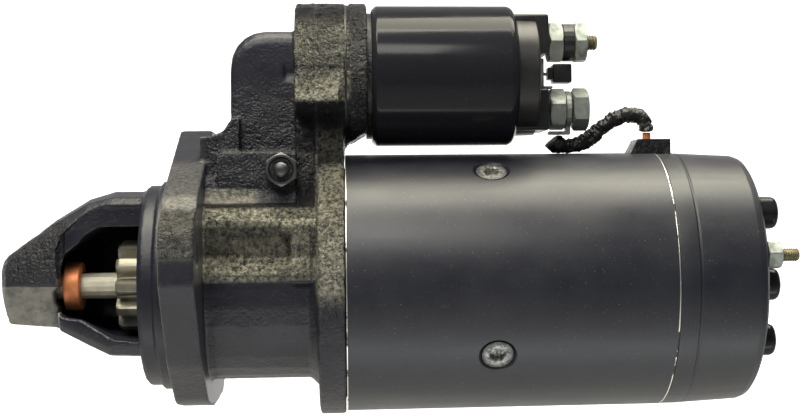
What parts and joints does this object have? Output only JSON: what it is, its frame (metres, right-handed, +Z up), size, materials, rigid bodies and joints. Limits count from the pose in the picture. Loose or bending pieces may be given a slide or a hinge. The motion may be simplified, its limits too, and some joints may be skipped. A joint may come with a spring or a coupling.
{
  "type": "starter motor",
  "caption": "Black direct-drive starter motor with a cast pinion nose, three-eared flange, round yoke, rear cap and a solenoid on top.",
  "frame": {"origin": "on the shaft axis, in the front face of the mounting flange", "axes": "+X along the shaft to the commutator end, +Z up towards the solenoid, -Y the side with the pinion window"},
  "size_m": [0.3446, 0.143, 0.1844],
  "materials": {
    "black_casting": "semi-gloss black paint on rough cast iron",
    "black_paint": "satin black paint",
    "black_gloss": "gloss black paint",
    "zinc_plate": "zinc plate",
    "bare_steel": "machined",
    "dark_steel": "oiled dark steel",
    "copper": "copper",
    "brass": "yellow passivated",
    "black_moulding": "moulded",
    "rubber": "matte",
    "carbon": "pressed carbon"
  },
  "bodies": {
    "frame": {"battery_inner_nut": "zinc_plate", "battery_insulator": "black_moulding", "battery_outer_nut": "zinc_plate", "battery_stud": "brass", "brush_plate": "zinc_plate", "cap_screw_1": "black_gloss", "cap_screw_2": "black_gloss", "cap_screw_3": "black_gloss", "cap_screw_4": "black_gloss", "commutator_end_cap": "black_paint", "control_terminal": "black_moulding", "drive_end_housing": "black_casting", "field_lead": "rubber", "field_winding": "copper", "lead_grommet": "rubber", "lead_lug": "zinc_plate", "lead_tail": "copper", "motor_inner_nut": "zinc_plate", "motor_outer_nut": "zinc_plate", "motor_stud": "brass", "nose_bushing": "brass", "pivot_bolt": "dark_steel", "pivot_nut": "dark_steel", "pole_screw_1": "black_paint", "pole_screw_2": "black_paint", "pole_screw_3": "black_paint", "pole_screw_4": "black_paint", "pole_shoe_1": "dark_steel", "pole_shoe_2": "dark_steel", "pole_shoe_3": "dark_steel", "pole_shoe_4": "dark_steel", "rear_bushing": "brass", "return_spring": "zinc_plate", "solenoid_cap": "black_moulding", "solenoid_case": "black_gloss", "solenoid_coil": "copper", "solenoid_core": "dark_steel", "solenoid_flange": "black_casting", "solenoid_screw_1": "zinc_plate", "solenoid_screw_2": "zinc_plate", "through_bolt_1": "dark_steel", "through_bolt_2": "dark_steel", "through_nut_1": "zinc_plate", "through_nut_2": "zinc_plate", "yoke_tube": "black_paint"},
    "armature": {"armature_shaft": "bare_steel", "armature_core": "dark_steel", "armature_winding": "copper", "commutator": "copper", "stop_ring": "copper"},
    "collar": {"shift_collar": "dark_steel"},
    "clutch": {"clutch_shell": "dark_steel"},
    "drive_pinion": {"pinion": "bare_steel"},
    "lever": {"shift_lever": "dark_steel"},
    "plunger_unit": {"plunger": "zinc_plate"},
    "contact": {"contact_bridge": "copper"},
    "brush_unit_1": {"brush_1": "carbon"},
    "brush_unit_2": {"brush_2": "carbon"},
    "brush_unit_3": {"brush_3": "carbon"},
    "brush_unit_4": {"brush_4": "carbon"}
  },
  "joints": [
    {"name": "armature_spin", "type": "hinge", "parent": "frame", "child": "armature", "pos_m": [0, 0, 0], "axis": [1, 0, 0], "continuous": true},
    {"name": "plunger_slide", "type": "slide", "parent": "frame", "child": "plunger_unit", "axis": [1, 0, 0], "range_m": [0, 0.0129], "stiffness_N_per_m": 1500, "deforming": ["return_spring"]},
    {"name": "lever_swing", "type": "hinge", "parent": "frame", "child": "lever", "pos_m": [0.0474, 0, 0.0501], "axis": [0, 1, 0], "range_deg": [0, 17.3]},
    {"name": "collar_slide", "type": "slide", "parent": "frame", "child": "collar", "axis": [-1, 0, 0], "range_m": [0, 0.01501]},
    {"name": "clutch_spin", "type": "hinge", "parent": "collar", "child": "clutch", "pos_m": [0.028, 0, 0], "axis": [1, 0, 0], "continuous": true},
    {"name": "pinion_overrun", "type": "hinge", "parent": "clutch", "child": "drive_pinion", "pos_m": [-0.0254, 0, 0], "axis": [1, 0, 0], "continuous": true},
    {"name": "contact_slide", "type": "slide", "parent": "frame", "child": "contact", "axis": [1, 0, 0], "range_m": [0, 0.0022]},
    {"name": "brush_slide_1", "type": "slide", "parent": "frame", "child": "brush_unit_1", "axis": [0, -0.8572, -0.515], "range_m": [0, 0.004], "stiffness_N_per_m": 400, "springref_m": -0.006},
    {"name": "brush_slide_2", "type": "slide", "parent": "frame", "child": "brush_unit_2", "axis": [0, -0.515, 0.8572], "range_m": [0, 0.004], "stiffness_N_per_m": 400, "springref_m": -0.006},
    {"name": "brush_slide_3", "type": "slide", "parent": "frame", "child": "brush_unit_3", "axis": [0, 0.8572, 0.515], "range_m": [0, 0.004], "stiffness_N_per_m": 400, "springref_m": -0.006},
    {"name": "brush_slide_4", "type": "slide", "parent": "frame", "child": "brush_unit_4", "axis": [0, 0.515, -0.8572], "range_m": [0, 0.004], "stiffness_N_per_m": 400, "springref_m": -0.006}
  ],
  "couplings": [
    {"joint": "lever_swing", "follows": "plunger_slide", "rad_per_m": 23.33},
    {"joint": "collar_slide", "follows": "plunger_slide", "ratio": 1.1628},
    {"joint": "contact_slide", "follows": "plunger_slide", "ratio": 0.17},
    {"joint": "clutch_spin", "follows": "armature_spin", "ratio": 1}
  ]
}
